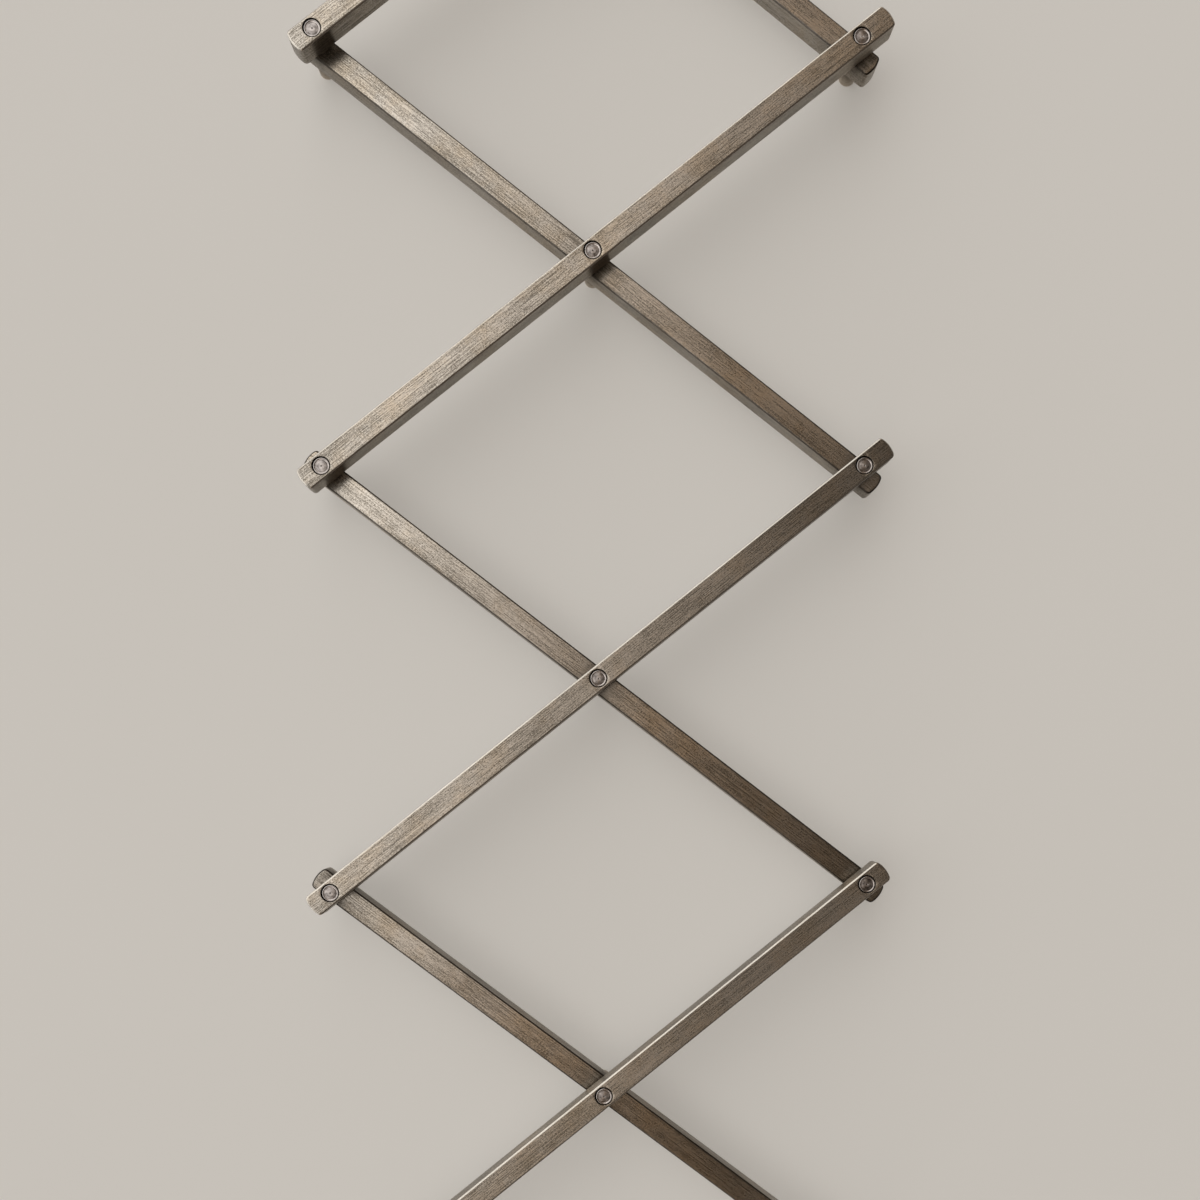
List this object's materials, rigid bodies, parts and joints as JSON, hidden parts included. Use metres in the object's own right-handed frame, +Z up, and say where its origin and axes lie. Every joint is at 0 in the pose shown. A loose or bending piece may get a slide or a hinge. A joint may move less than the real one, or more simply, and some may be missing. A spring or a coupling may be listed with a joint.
{
  "type": "expanding trivet",
  "caption": "Lazy-tongs trivet of square metal bars on dished pivot pins and short round feet; it folds to change its length and width under hot dishes.",
  "frame": {"origin": "on the table, under the middle pivot pin, at the bottom centre of the box at rest", "axes": "+Z up from the table, +Y lengthwise from tip to tip, +X across the lattice; at rest the upper bars rise towards +X +Y"},
  "size_m": [0.1558, 0.4446, 0.0191],
  "materials": {
    "bar_metal": "fine lengthwise brushing, plated to a warm old-silver grey, edges eased and bright",
    "pin_metal": "turned and lightly polished, cooler and brighter than the bars",
    "washer_metal": "plain stamped, dull",
    "foot_metal": "turned, satin, with a browner tone than the bars"
  },
  "bodies": {
    "lower_bar_2": {"lower_bar_2": "bar_metal", "pivot_pin_left_2": "pin_metal", "washer_left_2": "washer_metal", "foot_left_2": "foot_metal", "pivot_pin_centre_2": "pin_metal", "washer_centre_2": "washer_metal", "foot_centre_2": "foot_metal", "pivot_pin_right_3": "pin_metal", "washer_right_3": "washer_metal", "foot_right_3": "foot_metal"},
    "lower_bar_1": {"lower_bar_1": "bar_metal", "pivot_pin_left_1": "pin_metal", "washer_left_1": "washer_metal", "foot_left_1": "foot_metal", "pivot_pin_centre_1": "pin_metal", "washer_centre_1": "washer_metal", "foot_centre_1": "foot_metal", "pivot_pin_right_2": "pin_metal", "washer_right_2": "washer_metal", "foot_right_2": "foot_metal"},
    "lower_bar_3": {"lower_bar_3": "bar_metal", "pivot_pin_left_3": "pin_metal", "washer_left_3": "washer_metal", "foot_left_3": "foot_metal", "pivot_pin_centre_3": "pin_metal", "washer_centre_3": "washer_metal", "foot_centre_3": "foot_metal", "pivot_pin_right_4": "pin_metal", "washer_right_4": "washer_metal", "foot_right_4": "foot_metal"},
    "lower_end_bar_far": {"lower_end_bar_far": "bar_metal", "pivot_pin_tip_far": "pin_metal", "washer_tip_far": "washer_metal", "foot_tip_far": "foot_metal", "pivot_pin_right_1": "pin_metal", "washer_right_1": "washer_metal", "foot_right_1": "foot_metal"},
    "lower_end_bar_near": {"lower_end_bar_near": "bar_metal", "pivot_pin_left_4": "pin_metal", "washer_left_4": "washer_metal", "foot_left_4": "foot_metal", "pivot_pin_tip_near": "pin_metal", "washer_tip_near": "washer_metal", "foot_tip_near": "foot_metal"},
    "upper_end_bar_far": {"upper_end_bar_far": "bar_metal"},
    "upper_bar_1": {"upper_bar_1": "bar_metal"},
    "upper_bar_2": {"upper_bar_2": "bar_metal"},
    "upper_bar_3": {"upper_bar_3": "bar_metal"},
    "upper_end_bar_near": {"upper_end_bar_near": "bar_metal"}
  },
  "joints": [
    {"name": "lattice_fold", "type": "hinge", "parent": "lower_bar_2", "child": "upper_bar_2", "pos_m": [0, 0, 0.01255], "axis": [0, 0, 1], "range_deg": [-71.8, 99.8]},
    {"name": "pivot_left_2", "type": "hinge", "parent": "lower_bar_2", "child": "upper_bar_1", "pos_m": [-0.06934, 0.05418, 0.01255], "axis": [0, 0, 1], "range_deg": [-71.8, 99.8]},
    {"name": "pivot_right_3", "type": "hinge", "parent": "lower_bar_2", "child": "upper_bar_3", "pos_m": [0.06934, -0.05418, 0.01255], "axis": [0, 0, 1], "range_deg": [-71.8, 99.8]},
    {"name": "pivot_centre_1", "type": "hinge", "parent": "upper_bar_1", "child": "lower_bar_1", "pos_m": [0, 0.10836, 0.01255], "axis": [0, 0, 1], "range_deg": [-99.8, 71.8]},
    {"name": "pivot_centre_3", "type": "hinge", "parent": "upper_bar_3", "child": "lower_bar_3", "pos_m": [0, -0.10836, 0.01255], "axis": [0, 0, 1], "range_deg": [-99.8, 71.8]},
    {"name": "pivot_left_1", "type": "hinge", "parent": "lower_bar_1", "child": "upper_end_bar_far", "pos_m": [-0.06934, 0.16253, 0.01255], "axis": [0, 0, 1], "range_deg": [-71.8, 99.8]},
    {"name": "pivot_right_1", "type": "hinge", "parent": "upper_bar_1", "child": "lower_end_bar_far", "pos_m": [0.06934, 0.16253, 0.01255], "axis": [0, 0, 1], "range_deg": [-99.8, 71.8]},
    {"name": "pivot_right_4", "type": "hinge", "parent": "lower_bar_3", "child": "upper_end_bar_near", "pos_m": [0.06934, -0.16253, 0.01255], "axis": [0, 0, 1], "range_deg": [-71.8, 99.8]},
    {"name": "pivot_left_4", "type": "hinge", "parent": "upper_bar_3", "child": "lower_end_bar_near", "pos_m": [-0.06934, -0.16253, 0.01255], "axis": [0, 0, 1], "range_deg": [-99.8, 71.8]}
  ],
  "couplings": [
    {"joint": "pivot_left_2", "follows": "lattice_fold", "ratio": 1},
    {"joint": "pivot_right_3", "follows": "lattice_fold", "ratio": 1},
    {"joint": "pivot_centre_1", "follows": "lattice_fold", "ratio": -1},
    {"joint": "pivot_centre_3", "follows": "lattice_fold", "ratio": -1},
    {"joint": "pivot_left_1", "follows": "lattice_fold", "ratio": 1},
    {"joint": "pivot_right_1", "follows": "lattice_fold", "ratio": -1},
    {"joint": "pivot_right_4", "follows": "lattice_fold", "ratio": 1},
    {"joint": "pivot_left_4", "follows": "lattice_fold", "ratio": -1}
  ]
}
